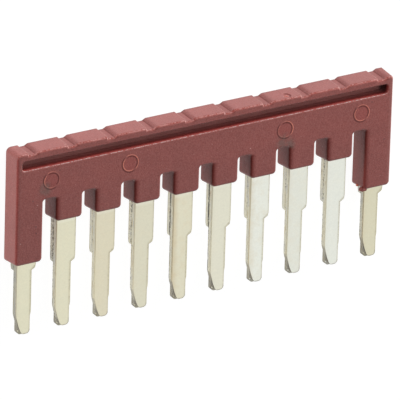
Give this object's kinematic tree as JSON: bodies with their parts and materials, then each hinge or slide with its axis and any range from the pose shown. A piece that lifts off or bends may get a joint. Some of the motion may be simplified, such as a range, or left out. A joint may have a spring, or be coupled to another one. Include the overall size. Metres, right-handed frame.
{
  "type": "terminal block jumper bar",
  "caption": "Push-in jumper bar that links neighbouring DIN-rail terminal blocks: paired stamped contact combs in a moulded plastic housing with a front slot.",
  "frame": {"origin": "middle of the bar's box, on the surface that the flat rear face lies on", "axes": "+X along the bar to the right seen from the slotted front, +Y from the pin tips to the rail, +Z out of the slotted front face"},
  "size_m": [0.0504, 0.0234, 0.0028],
  "materials": {
    "housing_plastic": "dull red moulded polyamide with a fine matte grain",
    "contact_metal": "pale tin-plated copper alloy, satin, with tan die-rolled edges"
  },
  "bodies": {
    "root": {"insulating_housing": "housing_plastic", "front_contact_comb": "contact_metal", "rear_contact_comb": "contact_metal"}
  },
  "joints": []
}
